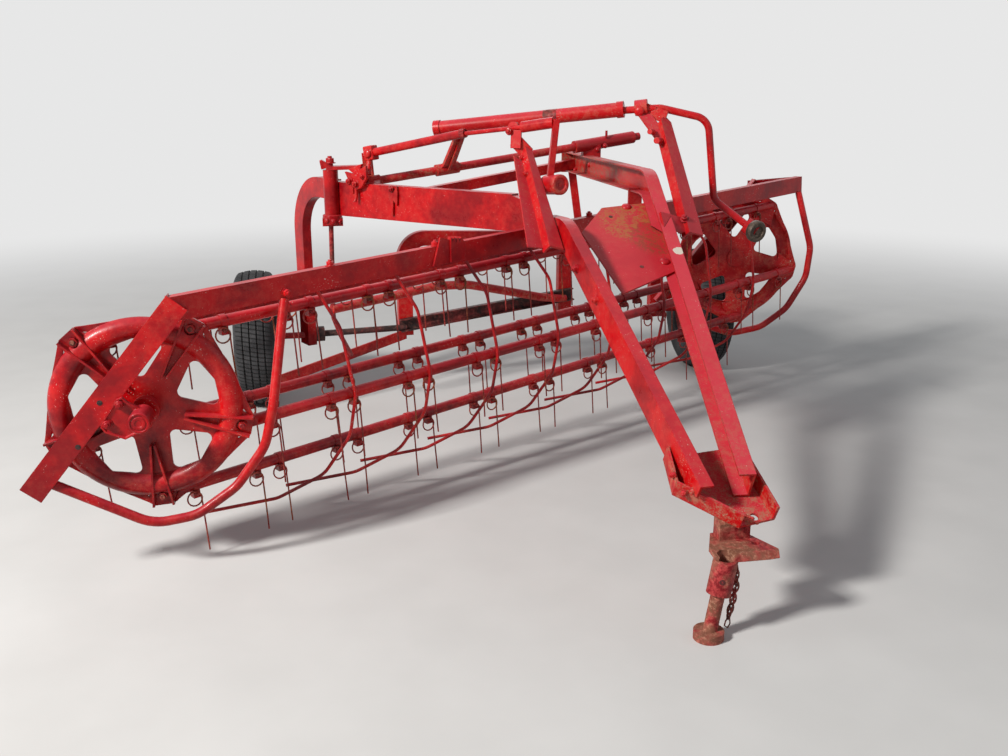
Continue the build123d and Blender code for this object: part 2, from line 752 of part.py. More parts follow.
tube_long = joined(
    [rod_along([(1083, 1264, 1370), (1836, 926, 1456)], 30)],
    [rod_along([(1776, 953, 1449), (1845, 922, 1457)], 24), crank_right_solid],
)
right_face = upright_plane(upright_right_line)
right_length = (upright_right_line[1] - upright_right_line[0]).length
with BuildPart() as upright_right_body:
    with BuildSketch(right_face):
        with BuildLine():
            Polyline((-36, 0), (38, 0), (28, right_length - 26), (0, right_length), (-28, right_length - 26), close=True)
        make_face()
    extrude(amount=-8)
    for side in (-1, 1):
        with BuildSketch(right_face.offset(-8)):
            with BuildLine():
                Polyline(
                    (side * 36, 0), (side * 28, 0), (side * 20, right_length - 30), (side * 28, right_length - 30),
                    close=True,
                )
            make_face()
        extrude(amount=-36)
    with BuildSketch(right_face.offset(-20)):
        with Locations((-70, 45)):
            Rectangle(150, 70)
    extrude(amount=-12)
yoke_pieces = [
    upright_right_body.part,
    rod_along([(1878, 908, 1460), (1925, 888, 1466)], 32),
    bar_between((1902, 898, 1462), (1992, 842, 1425), 50, 12, up=(0, 0, 1)),
    bar_between((1902, 890, 1450), (1968, 770, 1325), 52, 10, up=(1, 0, 0)),
    rod_along([(1925, 800, 1368), (1900, 770, 1372)], 11),
    rod_along([(1948, 775, 1335), (1922, 745, 1338)], 13),
]
upright_right = joined(yoke_pieces, [frame_leg_right, basket, crank_right_solid, tube_long])
finish(upright_right, "upright_right")
finish(crank_right_solid, "crank_right")
finish(tube_long, "lift_tube_long")

rock_line = (Vector(800, 1400, 1133), Vector(2190, 1834, 1302))
rock_radius = 19.0
rock_dir = (rock_line[1] - rock_line[0]).normalized()
lever_at = rock_line[0] + rock_dir * 385
lever_end = Vector(1098, 1262, 1352)
lever_run = lever_end - lever_at
lever = Plane(origin=lever_at, x_dir=rock_dir, z_dir=rock_dir.cross(lever_run))
with BuildPart() as lever_arm:
    with BuildSketch(lever.offset(-8)):
        with BuildLine():
            Polyline((-56, 0), (-30, 40), (-22, lever_run.length), (22, lever_run.length), (30, 40), (56, 0), close=True)
        make_face()
    extrude(amount=16)
    with BuildSketch(lever.offset(-22)):
        with Locations((0, lever_run.length / 2)):
            Rectangle(12, lever_run.length)
    extrude(amount=44)
tube_short = joined(
    [rod_along([(792, 1385, 1258), (1185, 1020, 1361)], 18)],
    [rod_along([(1145, 1057, 1350.5), (1190, 1015, 1362.5)], 13), crank_left],
)
rockshaft = joined(
    [
        rod_along(rock_line, rock_radius),
        rod_along([lever_at - rock_dir * 57, lever_at + rock_dir * 57], 27),
        lever_arm.part,
        rod_along([rock_line[0] - rock_dir * 12, rock_line[0] + rock_dir * 48], 26),
        bar_between(rock_line[0], (790, 1388, 1262), 46, 14, up=(1, 0, 0)),
    ],
    [tube_long, tube_short],
)
finish(rockshaft, "rockshaft")
finish(tube_short, "lift_tube_short")
sleeve_at = rock_line[0] + rock_dir * 1255
mount_left = rock_line[0] + rock_dir * 20
post_mount = joined(
    [bar_between(mount_left, mount_left - Vector(0, 112, 40), 50, 30, up=(1, 0, 0))], [rockshaft, side_beam]
)
finish(joined([side_beam, post_mount], [rockshaft, frame_leg_left]), "side_beam_left")
finish(cross_beam, "cross_beam")
mount_right = joined(
    [
        rod_along([sleeve_at - rock_dir * 175, sleeve_at + rock_dir * 175], 30),
        bar_between(
            sleeve_at - rock_dir * 75, sleeve_at - rock_dir * 75 - Vector(0, 0, 80), 90, 44, up=(1, 0, 0)
        ),
    ],
    [rockshaft, frame_leg_right],
)
finish(mount_right, "rockshaft_mount")
bell = joined(
    [
        bar_between((post_centre[0] - 10, post_centre[1], post_top + 8), (770, 1400, 1200), 60, 16, up=(0, 1, 0)),
        rod_along([(post_centre[0], post_centre[1], post_top), (post_centre[0], post_centre[1], post_top + 40)], 14),
    ],
    [rockshaft, post],
)
finish(bell, "bell_crank")

plate_corners = [(1697, 730, 1075), (1576, 577, 998), (1645, 228, 824), (1897, 348, 884), (1934, 763, 1092)]
deck = Plane(origin=plate_corners[0], x_dir=(1, 0, 0), z_dir=(0, -0.5, 1))
with BuildPart() as deck_plate:
    with BuildSketch(deck):
        with BuildLine():
            flat = [deck.to_local_coords(Vector(*p)) for p in plate_corners]
            Polyline(*[(p.X, p.Y) for p in flat], close=True)
        make_face()
    extrude(amount=-6)
finish(joined([deck_plate.part], [frame_leg_left, frame_leg_right]), "deck_plate")
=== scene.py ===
# %% [markdown]
# # Bar rake
# A towed hay rake with five tine bars between two reel heads, on two wheels and a parking jack. The steel
# frame is already modelled as solids. This lesson lights it, paints it, and adds what a welder and a fitter
# would add last: spring teeth, tyre treads, bolts, weld beads and a chain. All of it is in metres.

# %% Load the frame
import math

import bmesh
import bpy
from mathutils import Matrix, Vector


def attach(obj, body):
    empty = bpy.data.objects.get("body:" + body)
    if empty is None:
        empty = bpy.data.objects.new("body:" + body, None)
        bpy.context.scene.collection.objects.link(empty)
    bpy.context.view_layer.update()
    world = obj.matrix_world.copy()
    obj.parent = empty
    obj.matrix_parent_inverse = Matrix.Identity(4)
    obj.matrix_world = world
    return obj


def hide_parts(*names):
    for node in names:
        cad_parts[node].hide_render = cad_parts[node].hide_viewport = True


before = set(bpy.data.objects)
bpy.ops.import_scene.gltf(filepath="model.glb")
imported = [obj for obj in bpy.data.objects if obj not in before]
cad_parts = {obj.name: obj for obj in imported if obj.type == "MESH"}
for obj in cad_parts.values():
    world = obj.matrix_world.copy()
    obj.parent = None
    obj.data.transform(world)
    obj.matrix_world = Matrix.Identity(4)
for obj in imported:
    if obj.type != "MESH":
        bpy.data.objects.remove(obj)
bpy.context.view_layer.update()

# %% [markdown]
# ## Camera and floor
# The camera stands where the photographer stood, at eye height and looking a little down, with a lens as
# wide as a phone's. The floor is a plain pale disc. Far from the rake it turns into the backdrop's own
# colour, so no horizon shows and the rake keeps its shadow.

# %% Camera
photo_width = 1008
focal_pixels = 1000
lens = bpy.data.cameras.new("photo_camera")
lens.sensor_width = 36.0
lens.lens = focal_pixels / photo_width * lens.sensor_width
camera = bpy.data.objects.new("photo_camera", lens)
camera.location = (-0.727, -4.026, 1.55)
camera.rotation_euler = (math.radians(90 - 16.3), 0, math.radians(-10.1))
bpy.context.scene.collection.objects.link(camera)
bpy.context.scene.camera = camera
bpy.context.scene.view_settings.view_transform = "Standard"
print("lens", round(lens.lens, 1), "mm")

# %% [markdown]
# ## Writing shader maths as expressions
# A material is a set of nodes joined by wires. The small class below wraps one output wire, so that a mask
# is written like ordinary arithmetic. Any other node comes from `node`, which takes the kind, its settings
# and its inputs.

# %% Wires


class Wire:
    """One output of a material's node."""

    def __init__(self, tree, socket=None):
        self.tree = tree
        self.socket = socket

    def node(self, kind, settings=(), inputs=(), out=0):
        """Adds a node and gives one of its outputs. Stops of a ramp are pairs of a place and a colour."""
        made = self.tree.nodes.new("ShaderNode" + kind)
        for name, value in dict(settings).items():
            if name == "stops":
                while len(made.color_ramp.elements) < len(value):
                    made.color_ramp.elements.new(0.5)
                for stop, (place, colour) in zip(made.color_ramp.elements, value):
                    stop.position = place
                    stop.color = (*colour, 1)
            else:
                setattr(made, name, value)
        for name, value in dict(inputs).items():
            if isinstance(value, Wire):
                self.tree.links.new(value.socket, made.inputs[name])
            else:
                made.inputs[name].default_value = value
        return Wire(self.tree, made.outputs[out])

    def maths(self, operation, first, second=0.0):
        return self.node("Math", {"operation": operation}, {0: first, 1: second})

    def __add__(self, other):
        return self.maths("ADD", self, other)

    __radd__ = __add__

    def __sub__(self, other):
        return self.maths("SUBTRACT", self, other)

    def __rsub__(self, other):
        return self.maths("SUBTRACT", other, self)

    def __mul__(self, other):
        return self.maths("MULTIPLY", self, other)

    def between(self, low, high):
        """0 below low, 1 above high, and a smooth step between them."""
        settings = {"interpolation_type": "SMOOTHSTEP"}
        return self.node("MapRange", settings, {"Value": self, "From Min": low, "From Max": high})

    def blend(self, first, second):
        """A colour: the first where this mask is 0, the second where it is 1."""
        return self.node("Mix", {"data_type": "RGBA"}, {0: self, 6: colour_of(first), 7: colour_of(second)}, 2)


def colour_of(value):
    """A plain red, green and blue gets its fourth number, and a wire stays as it is."""
    return value if isinstance(value, Wire) else (*value, 1)


def new_material(name):
    """An empty material and the wire from which its nodes are made."""
    material = bpy.data.materials.new(name)
    material.use_nodes = True
    material.node_tree.nodes.clear()
    return material, Wire(material.node_tree)


def show(start, surface):
    """Joins a shader to the material's output."""
    output = start.tree.nodes.new("ShaderNodeOutputMaterial")
    start.tree.links.new(surface.socket, output.inputs["Surface"])


# %% Floor and backdrop
backdrop_shade = 0.80
floor_shade = 0.62
floor_mesh = bmesh.new()
bmesh.ops.create_circle(floor_mesh, cap_ends=True, segments=96, radius=60)
floor_data = bpy.data.meshes.new("floor")
floor_mesh.to_mesh(floor_data)
floor_mesh.free()
floor = bpy.data.objects.new("floor", floor_data)
bpy.context.scene.collection.objects.link(floor)
floor_material, start = new_material("floor_paper")
place = start.node("TexCoord", out=3)
distance = start.node("VectorMath", {"operation": "LENGTH"}, {0: place}, 1)
grain = start.node("TexNoise", inputs={"Vector": place, "Scale": 3.0, "Detail": 3.0}).between(0.2, 0.8)
paper = grain.blend((floor_shade - 0.02,) * 3, (floor_shade + 0.02,) * 3)
matt = start.node("BsdfDiffuse", inputs={"Color": paper})
glow = start.node("Emission", inputs={"Color": (backdrop_shade,) * 3 + (1,), "Strength": 1.0})
show(start, start.node("MixShader", inputs={0: distance.between(2.8, 8.5), 1: matt, 2: glow}))
floor_data.materials.append(floor_material)
print("floor disc 120 m across")

# %% [markdown]
# ## Light
# One broad lamp high on the left stands for the afternoon sun softened by a studio screen, and a weaker
# one fills the right. The world gives even light from everywhere. At this level a colour renders about as
# it is written, and the backdrop is seen only by the camera and in reflections.

# %% World and lamps
world = bpy.data.worlds.new("studio")
bpy.context.scene.world = world
world.use_nodes = True
world.node_tree.nodes.clear()
start = Wire(world.node_tree)
rays = [start.node("LightPath", out=number) for number in (0, 3, 6)]
seen = rays[0].maths("MAXIMUM", rays[0], rays[1].maths("MAXIMUM", rays[1], rays[2]))
even = start.node("Background", inputs={"Color": (0.95, 0.97, 1, 1), "Strength": 0.22})
behind = start.node("Background", inputs={"Color": (backdrop_shade,) * 3 + (1,), "Strength": 1.0})
output = world.node_tree.nodes.new("ShaderNodeOutputWorld")
shown = start.node("MixShader", inputs={0: seen, 1: even, 2: behind})
world.node_tree.links.new(shown.socket, output.inputs["Surface"])


def lamp(name, place, aim, size, power, colour):
    """A square lamp that looks at a point."""
    data = bpy.data.lights.new(name, "AREA")
    data.size = size
    data.energy = power
    data.color = colour
    made = bpy.data.objects.new(name, data)
    made.location = place
    made.rotation_euler = (Vector(aim) - Vector(place)).to_track_quat("-Z", "Y").to_euler()
    bpy.context.scene.collection.objects.link(made)
    return made


lamp("sun_screen", (-6.6, -4.0, 5.6), (0.1, 0, 0.6), 1.2, 1010, (1, 0.97, 0.92))
lamp("fill_screen", (5.5, -3.5, 3.5), (0.2, 0, 0.6), 4.0, 34, (0.93, 0.96, 1))
lamp("back_screen", (1.5, 6.5, 5.0), (0, 0, 0.7), 4.0, 90, (1, 1, 1))
print("three lamps")

# %% [markdown]
# ## Finishes
# The rake was painted again with glossy red enamel, by brush and over old rust. The faces that look up are pink: the
# sun has faded them, and a reflection of the sky is painted on them as well.
# The lower parts are dusty, old paint shows at worn edges, and cloudy patches of a deeper red are painted shade.
# One recipe makes every red finish, and its settings say how sun-faded and sky-lit, dusty, worn and shaded a part is.

# %% The makings of a finish


def surface_wires(start, edge_radius=0.003):
    """What every finish starts from: place, how far a face looks up, an edge mask and a softened normal."""
    place = start.node("TexCoord", out=3)
    facing = start.node("TexCoord", out=1)
    up = start.node("SeparateXYZ", inputs={0: facing}, out=2)
    soft = start.node("Bevel", {"samples": 4}, {"Radius": edge_radius})
    flat = start.node("NewGeometry", out=1)
    along = start.node("VectorMath", {"operation": "DOT_PRODUCT"}, {0: soft, 1: flat}, 1)
    edge = (1 - along).between(0.015, 0.16)
    return place, up, soft, edge


def cloud(start, place, scale, detail=4.0, rough=0.55, twist=0.0):
    """Cloudy noise of a chosen grain, from 0 to 1."""
    inputs = {"Vector": place, "Scale": scale, "Detail": detail, "Roughness": rough, "Distortion": twist}
    return start.node("TexNoise", inputs=inputs)


def finish_surface(start, colour, roughness, metal, height, soft, depth, coat=0.0, coat_rough=0.1, specular=0.22):
    """The last nodes of a finish: bump, then the surface itself."""
    bump = start.node("Bump", inputs={"Height": height, "Distance": depth, "Strength": 1.0, "Normal": soft})
    inputs = {"Base Color": colour, "Roughness": roughness, "Metallic": metal, "Normal": bump,
              "Coat Weight": coat, "Coat Roughness": coat_rough, "Specular IOR Level": specular}
    show(start, start.node("BsdfPrincipled", inputs=inputs))


# %% Red enamel
fresh_red = (0.50, 0.0012, 0.004)
# A deeper red: a tone for old paint on rusty steel, and in the enamel the colour of painted shade.
deep_red_and_shade = (0.15, 0.0012, 0.005)
# Pink of sun-faded paint, also used as a painted sky reflection on faces that look up.
sun_pink_and_sky_sheen = (0.58, 0.045, 0.070)
old_red = (0.20, 0.020, 0.020)
rust_brown = (0.13, 0.048, 0.026)
field_dust = (0.38, 0.19, 0.12)


def red_enamel(name, fade_and_sheen=0.6, dust=0.2, worn=0.2, depth=1.0, rough=0.22, marks=()):
    """Brushed enamel. The settings for fading and sheen, dust and wear go from 0 to 1; the first turns the faces that
    look up pink, partly as faded paint and partly as a painted sky reflection. Depth says how much of the paint is
    painted shade.
    A mark is a place, its radius, how ragged it is and its colour."""
    material, start = new_material(name)
    place, up, soft, edge = surface_wires(start)
    broad = cloud(start, place, 1.7, 2)
    patch = cloud(start, place, 7.0, 4, 0.6, 0.4)
    fine = cloud(start, place, 42.0, 4, 0.65)
    grit = cloud(start, place, 190.0, 2, 0.7)
    stretched = start.node("Mapping", inputs={"Vector": place, "Scale": (1.0, 1.0, 0.16)})
    brush = cloud(start, stretched, 120.0, 3, 0.6)
    # Cloudy patches go towards the deeper red as far as depth says: painted shade.
    colour = (broad * 0.4 + patch * 0.45 + fine * 0.15).between(0.38, 0.58).blend(
        [r + (d - r) * depth for r, d in zip(fresh_red, deep_red_and_shade)], fresh_red
    )
    # Faces that look up go pink: partly faded paint, partly a painted reflection of the sky.
    bleached_and_sky_sheen = up.between(0.15, 0.95) * (patch * 0.7 + 0.55) * fade_and_sheen
    colour = bleached_and_sky_sheen.blend(colour, sun_pink_and_sky_sheen)
    low = 1 - start.node("SeparateXYZ", inputs={0: place}, out=2).between(0.12, 0.60)
    film = (fine * 0.6 + grit * 0.4).between(0.44, 0.62) * (broad.between(0.3, 0.7) + low * 0.7) * dust
    colour = film.blend(colour, field_dust)
    for spot, radius, ragged, shade in marks:
        away = start.node("VectorMath", {"operation": "DISTANCE"}, {0: place, 1: spot}, 1)
        mark = 1 - (away + (fine - 0.5) * ragged).between(radius * 0.9, radius)
        if ragged > radius:
            mark = mark * (fine * 0.55 + grit * 0.45).between(0.46, 0.55)
        colour = mark.blend(colour, shade)
    thin = (edge * 0.55 + fine * 0.5 + patch * 0.28).between(1.02 - worn * 0.42, 1.10 - worn * 0.42)
    colour = thin.blend(colour, old_red)
    bare = (fine * 0.55 + grit * 0.22 + edge * 0.34).between(0.86 - worn * 0.22, 0.90 - worn * 0.22)
    colour = bare.blend(colour, rust_brown)
    colour = (grit * 0.7 + patch * 0.3).between(0.655, 0.675).blend(colour, (0.55, 0.42, 0.38))
    roughness = patch * 0.16 + bleached_and_sky_sheen * 0.22 + film * 0.4 + thin * 0.15 + bare * 0.35 + rough
    height = brush * 0.35 + fine * 0.3 + grit * 0.12 - thin * 0.4 - bare * 0.6
    shine = (1 - bare) * (1 - film) * 0.07
    finish_surface(start, colour, roughness, 0.0, height, soft, 0.0009, shine)
    return material


red_fresh = red_enamel("red_enamel_fresh", fade_and_sheen=0.45, dust=0.14, worn=0.20, depth=0.8)
# More faded paint here, and more painted sky sheen on faces that look up.
red_faded_sky_sheen = red_enamel("red_enamel_faded_sky_sheen", fade_and_sheen=0.85, dust=0.30, worn=0.34, depth=0.4, rough=0.30)
# The red with the most painted shade, for parts that lie in shadow.
red_shaded = red_enamel("red_enamel_shaded", fade_and_sheen=0.40, dust=0.18, worn=0.24, depth=1.0)
red_worn = red_enamel("red_enamel_worn", fade_and_sheen=0.62, dust=0.62, worn=0.62, depth=0.7, rough=0.36)
leg_marks = [
    (Vector((0.560, -0.502, 0.962)), 0.022, 0.02, (0.62, 0.56, 0.48)),
    (Vector((0.600, 0.900, 1.150)), 0.62, 0.70, (0.30, 0.10, 0.07)),
]
deck_marks = [
    (Vector((0.500, -0.170, 1.030)), 0.17, 0.25, (0.40, 0.12, 0.04)),
    (Vector((0.560, -0.280, 0.980)), 0.13, 0.20, (0.30, 0.05, 0.03)),
]
red_leg = red_enamel("red_enamel_leg", fade_and_sheen=0.9, dust=0.34, worn=0.36, depth=0.35, rough=0.30, marks=leg_marks)
red_deck = red_enamel("red_enamel_deck", fade_and_sheen=0.55, dust=0.30, worn=0.30, depth=0.3, rough=0.26, marks=deck_marks)
print("six red finishes")

# %% [markdown]
# Bare and rusty steel needs a broken-up brown, a rough skin and a pitted bump. The same recipe makes the
# jack's dusty rust, the orange spring wire and the black greasy steel of the hubs, from three colours.

# %% Steel and rust


def rusty_steel(name, dark, middle, light, rests=0.0, rough=0.7, pits=0.0012, metal=0.0, scale=1.0):
    """Rust between three browns, with rests of red paint on a share of it."""
    material, start = new_material(name)
    place, up, soft, edge = surface_wires(start, 0.002)
    patch = cloud(start, place, 16.0 * scale, 5, 0.65, 0.6)
    fine = cloud(start, place, 75.0 * scale, 5, 0.7)
    grit = cloud(start, place, 260.0 * scale, 2, 0.7)
    colour = patch.between(0.34, 0.66).blend(dark, middle)
    colour = (fine * 0.7 + grit * 0.3).between(0.48, 0.66).blend(colour, light)
    paint = (patch * 0.5 + cloud(start, place, 5.0 * scale, 3) * 0.5).between(0.50 - rests * 0.3, 0.64 - rests * 0.3)
    paint = paint * (1 - edge * 0.6) * min(1.0, rests * 4)
    colour = paint.blend(colour, fine.between(0.35, 0.7).blend(deep_red_and_shade, (0.46, 0.05, 0.05)))
    roughness = rough + grit * 0.2 - paint * 0.3
    height = fine * 0.6 + grit * 0.5 + paint * 0.4
    finish_surface(start, colour, roughness, metal, height, soft, pits)
    return material


jack_rust = rusty_steel("jack_rust", (0.16, 0.060, 0.035), (0.33, 0.125, 0.085), (0.46, 0.24, 0.16), rests=0.25)
spring_rust = rusty_steel(
    "spring_rust", (0.15, 0.045, 0.022), (0.46, 0.13, 0.030), (0.62, 0.25, 0.10), rests=0.42, rough=0.5, pits=0.0004
)
# Dark greasy steel for the hubs and the shaft; on the rear bar and in the spare holes the same dark colour is painted
# shade.
dark_steel = rusty_steel(
    "dark_steel", (0.020, 0.014, 0.014), (0.055, 0.030, 0.028), (0.12, 0.06, 0.05), rests=0.12, rough=0.5, scale=0.7
)
bolt_rust = rusty_steel(
    "bolt_rust", (0.06, 0.02, 0.016), (0.20, 0.05, 0.035), (0.36, 0.14, 0.09), rests=0.30, rough=0.5, pits=0.0005
)
knob_steel = rusty_steel(
    "knob_steel", (0.035, 0.026, 0.022), (0.095, 0.070, 0.055), (0.17, 0.13, 0.10), rough=0.38, pits=0.0005, metal=0.5
)
rusty_rod = rusty_steel(
    "rusty_rod", (0.10, 0.035, 0.028), (0.17, 0.055, 0.040), (0.28, 0.11, 0.075), rests=0.32, rough=0.55, pits=0.0005
)
print("six steels")

# %% [markdown]
# ## Tyre rubber and wheel paint
# Weathered rubber is a dark grey with paler dust in its pores. The tread's fine cuts go round the wheel in
# steps, so their pattern reads the angle round the axle: the two arms of an arc tangent.

# %% Rubber
tyre_radius = 0.335
wheel_centre = {"left": Vector((-1.089, 1.008, tyre_radius)), "right": Vector((1.350, 1.288, tyre_radius))}


def rubber(name, centre):
    """Weathered rubber. It needs the wheel's centre, because the cuts go round the axle."""
    material, start = new_material(name)
    place, up, soft, edge = surface_wires(start, 0.002)
    moved = start.node("Mapping", inputs={"Vector": place, "Location": -centre})
    across, behind, above = (start.node("SeparateXYZ", inputs={0: moved}, out=n) for n in range(3))
    angle = start.maths("ARCTAN2", behind, above)
    radius = start.maths("SQRT", behind * behind + above * above)
    tread = radius.between(0.312, 0.318)
    cuts = start.maths("SINE", angle * 96 + across * 60).between(0.55, 0.9) * tread
    patch = cloud(start, place, 9.0, 4, 0.6)
    grit = cloud(start, place, 210.0, 3, 0.7)
    colour = (patch * 0.6 + grit * 0.4).between(0.35, 0.68).blend((0.016, 0.016, 0.018), (0.060, 0.060, 0.064))
    colour = (edge * 0.7).blend(colour, (0.12, 0.115, 0.11))
    # Near black in the cuts is painted shade in grooves that exist only as bump.
    colour = (cuts * 0.8).blend(colour, (0.006, 0.006, 0.006))
    finish_surface(start, colour, 0.62 + grit * 0.25, 0.0, grit * 0.25 - cuts, soft, 0.002)
    return material


tyre_rubber = {side: rubber(f"tyre_rubber_{side}", centre) for side, centre in wheel_centre.items()}
wheel_paint = rusty_steel(
    "wheel_paint", (0.10, 0.012, 0.014), (0.20, 0.018, 0.020), (0.26, 0.09, 0.07), rests=0.45, rough=0.45, pits=0.0006
)
print("rubber for two tyres")

# %% [markdown]
# ## Painting the frame
# Each part of the frame takes a finish of its own: bright on the left leg, the beams and the tubes, sun-faded with a
# painted sky sheen on the right leg and the uprights.
# The left head, the arch, the cross beam, the strippers and some bars take a red with more painted shade. Low down at
# the back the drive shaft is dark greasy steel, and the rear bar, red paint in shadow, takes the same dark steel as
# painted shade.

# %% Assign finishes to the parts
part_finish = {
    red_leg: ["frame_leg_right"],
    red_deck: ["deck_plate"],
    red_faded_sky_sheen: ["upright_left", "upright_right", "lift_tube_long", "hanger_strap"],
    red_worn: ["hitch_plate", "rockshaft", "rockshaft_mount", "stay_pipe", "reel_head_right", "bearing_right"],
    # These parts take the red with the most painted shade.
    red_shaded: [
        "reel_head_left", "rear_arch", "cross_beam", "strippers", "tine_bar_4", "tine_bar_5", "tine_bar_1", "lift_rod"
    ],
    jack_rust: ["hitch_clevis", "jack_leg"],
    # The rear bar is red paint in shadow: its dark steel is painted shade.
    dark_steel: ["drive_shaft", "rear_bar"],
    wheel_paint: ["rim_left", "rim_right"],
}
chosen = {node: material for material, nodes in part_finish.items() for node in nodes}
for name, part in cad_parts.items():
    part.data.materials.clear()
    part.data.materials.append(chosen.get(name, red_fresh))
print(len(chosen), "parts with a finish of their own, the rest in fresh red")

# %% [markdown]
# ## Helpers for new pieces
# The machine was measured from the ground under the left reel head, in millimetres, and its basket leans
# by 3.5 degrees. Two helpers turn such a measure into a place in the scene. Others stand a shape on a
# surface, repeat it, and finish a mesh as a piece that rides on a body.

# %% Places and pieces
machine_middle = Vector((1.320, 0.812, 0))
basket_place = (
    Matrix.Translation(-machine_middle + Vector((0, 0, 0.556))) @ Matrix.Rotation(math.radians(-3.5), 4, "Y")
)


def at(x, y, z):
    """A place on the machine, from millimetres."""
    return Vector((x, y, z)) / 1000 - machine_middle


def in_basket(x, y, z):
    """A place in the leaning basket, from millimetres."""
    return basket_place @ (Vector((x, y, z)) / 1000)


def standing(place, out, turn=0.0, size=1.0):
    """Where a shape goes whose axis is Z, so that it stands at a place and points outward."""
    aim = Vector(out).to_track_quat("Z", "Y").to_matrix().to_4x4()
    return Matrix.Translation(place) @ aim @ Matrix.Rotation(turn, 4, "Z") @ Matrix.Scale(size, 4)


def as_mesh(shape, name):
    """Ends a bmesh: shared points merged, faces turned outward."""
    bmesh.ops.remove_doubles(shape, verts=shape.verts, dist=1e-6)
    bmesh.ops.recalc_face_normals(shape, faces=shape.faces)
    mesh = bpy.data.meshes.new(name)
    shape.to_mesh(mesh)
    shape.free()
    return mesh


def together(*parts):
    """One bmesh from pairs of a mesh and its place."""
    gathered = bmesh.new()
    for mesh, place in parts:
        copy = mesh.copy()
        copy.transform(place)
        gathered.from_mesh(copy)
        bpy.data.meshes.remove(copy)
    return gathered


def copies(mesh, places):
    """One bmesh with a copy of the mesh at each place."""
    return together(*((mesh, place) for place in places))


def piece(name, shape, finish, body="main_frame", smooth=35):
    """A finished piece of the rake: its mesh, its finish, and the body that it rides on."""
    mesh = bpy.data.meshes.new(name)
    shape.to_mesh(mesh)
    shape.free()
    for face in mesh.polygons:
        face.use_smooth = True
    mesh.set_sharp_from_angle(angle=math.radians(smooth))
    mesh.materials.append(finish)
    made = bpy.data.objects.new(name, mesh)
    bpy.context.scene.collection.objects.link(made)
    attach(made, body)
    print(name, len(mesh.polygons), "faces")
    return made


# %% [markdown]
# ## Spring teeth
# Each tooth is spring steel wire: a short end held by a clip, a turn and a quarter of coil, and a long
# tail. The coil stays narrow, because the teeth pass close to the strippers as the reel turns. A ring of
# six points is spun round the coil's axis while it moves along it, and its last ring is pulled down to
# make the tail. Eighteen teeth hang from each bar.

# %% One tooth
bar_turn = math.radians(30)  # the bars lie 60 degrees from the line of travel
bar_span = 3030.0
pivot_radius, first_pivot_angle, pivot_step = 302.0, 127, 72
wire = 0.0028
coil = 0.025
coil_middle = Vector((-0.0125, 0, -0.0421))
coil_start = coil_middle + Vector((-0.014, -0.0248, coil))
coil_width = 0.0070
tooth_tip = -0.240


def bar_pivot(n):
    """Where a bar hangs on the left head, in metres from the head's centre."""
    angle = math.radians(first_pivot_angle - pivot_step * n)
    return Vector((math.cos(angle), 0, math.sin(angle))) * pivot_radius / 1000


def spring_tooth(lean):
    """One tooth. A lean bends its tail a little to one side."""
    shape = bmesh.new()
    ring = bmesh.ops.create_circle(
        shape, segments=6, radius=wire,
        matrix=Matrix.Translation(coil_start) @ Matrix.Rotation(math.pi / 2, 4, "Y"),
    )["verts"]
    edges = list({edge for point in ring for edge in point.link_edges})

    def pull(edges, step, narrow=1.0):
        grown = bmesh.ops.extrude_edge_only(shape, edges=edges)["geom"]
        points = [g for g in grown if isinstance(g, bmesh.types.BMVert)]
        bmesh.ops.translate(shape, verts=points, vec=step)
        return [g for g in grown if isinstance(g, bmesh.types.BMEdge) and all(v in points for v in g.verts)]

    edges = pull(edges, (0.014, 0, 0))
    turns, steps = 1.25, 20
    points = list({point for edge in edges for point in edge.verts})
    spun = bmesh.ops.spin(
        shape, geom=points + edges, cent=coil_middle, axis=(0, 1, 0), dvec=(0, coil_width / steps, 0),
        angle=turns * 2 * math.pi, steps=steps, use_merge=False,
    )["geom_last"]
    edges = [g for g in spun if isinstance(g, bmesh.types.BMEdge)]
    drop = (tooth_tip - coil_middle.z) / 4
    for bend in (0.2, 0.6, 1.0, 1.3):
        edges = pull(edges, (lean * bend, lean * bend * 0.4, drop))
    bmesh.ops.holes_fill(shape, edges=shape.edges, sides=8)
    return as_mesh(shape, "tooth")


teeth_shapes = [spring_tooth(lean) for lean in (0.0, 0.0012, -0.0010)]
print("one tooth has", len(teeth_shapes[0].polygons), "faces")

# %% [markdown]
# The clip that holds a tooth is a strap round the bar, drawn tight by a bolt in front. The strap is a flat
# strip spun part of the way round the bar, and the bolt is a six-sided head with its edges broken.

# %% Bolts, washers and straps


def hex_bolt(across=0.019, height=0.011, washer=1.0):
    """A bolt head on its washer, with the end of its thread, standing on the ground plane."""
    shape = bmesh.new()
    thick = 0.0025 * washer
    if washer:
        bmesh.ops.create_cone(
            shape, cap_ends=True, segments=20, radius1=across * 0.72, radius2=across * 0.70, depth=thick,
            matrix=Matrix.Translation((0, 0, thick / 2)),
        )
    head = bmesh.ops.create_cone(
        shape, cap_ends=True, segments=6, radius1=across / math.sqrt(3), radius2=across / math.sqrt(3),
        depth=height, matrix=Matrix.Translation((0, 0, thick + height / 2)),
    )["verts"]
    edges = list({edge for point in head for edge in point.link_edges if point.co.z > thick + height / 2})
    bmesh.ops.bevel(
        shape, geom=edges, offset=across * 0.07, segments=2, profile=0.5, affect="EDGES", material=-1
    )
    bmesh.ops.create_cone(
        shape, cap_ends=True, segments=14, radius1=across * 0.31, radius2=across * 0.26, depth=height * 0.5,
        matrix=Matrix.Translation((0, 0, thick + height * 1.2)),
    )
    return as_mesh(shape, "bolt")


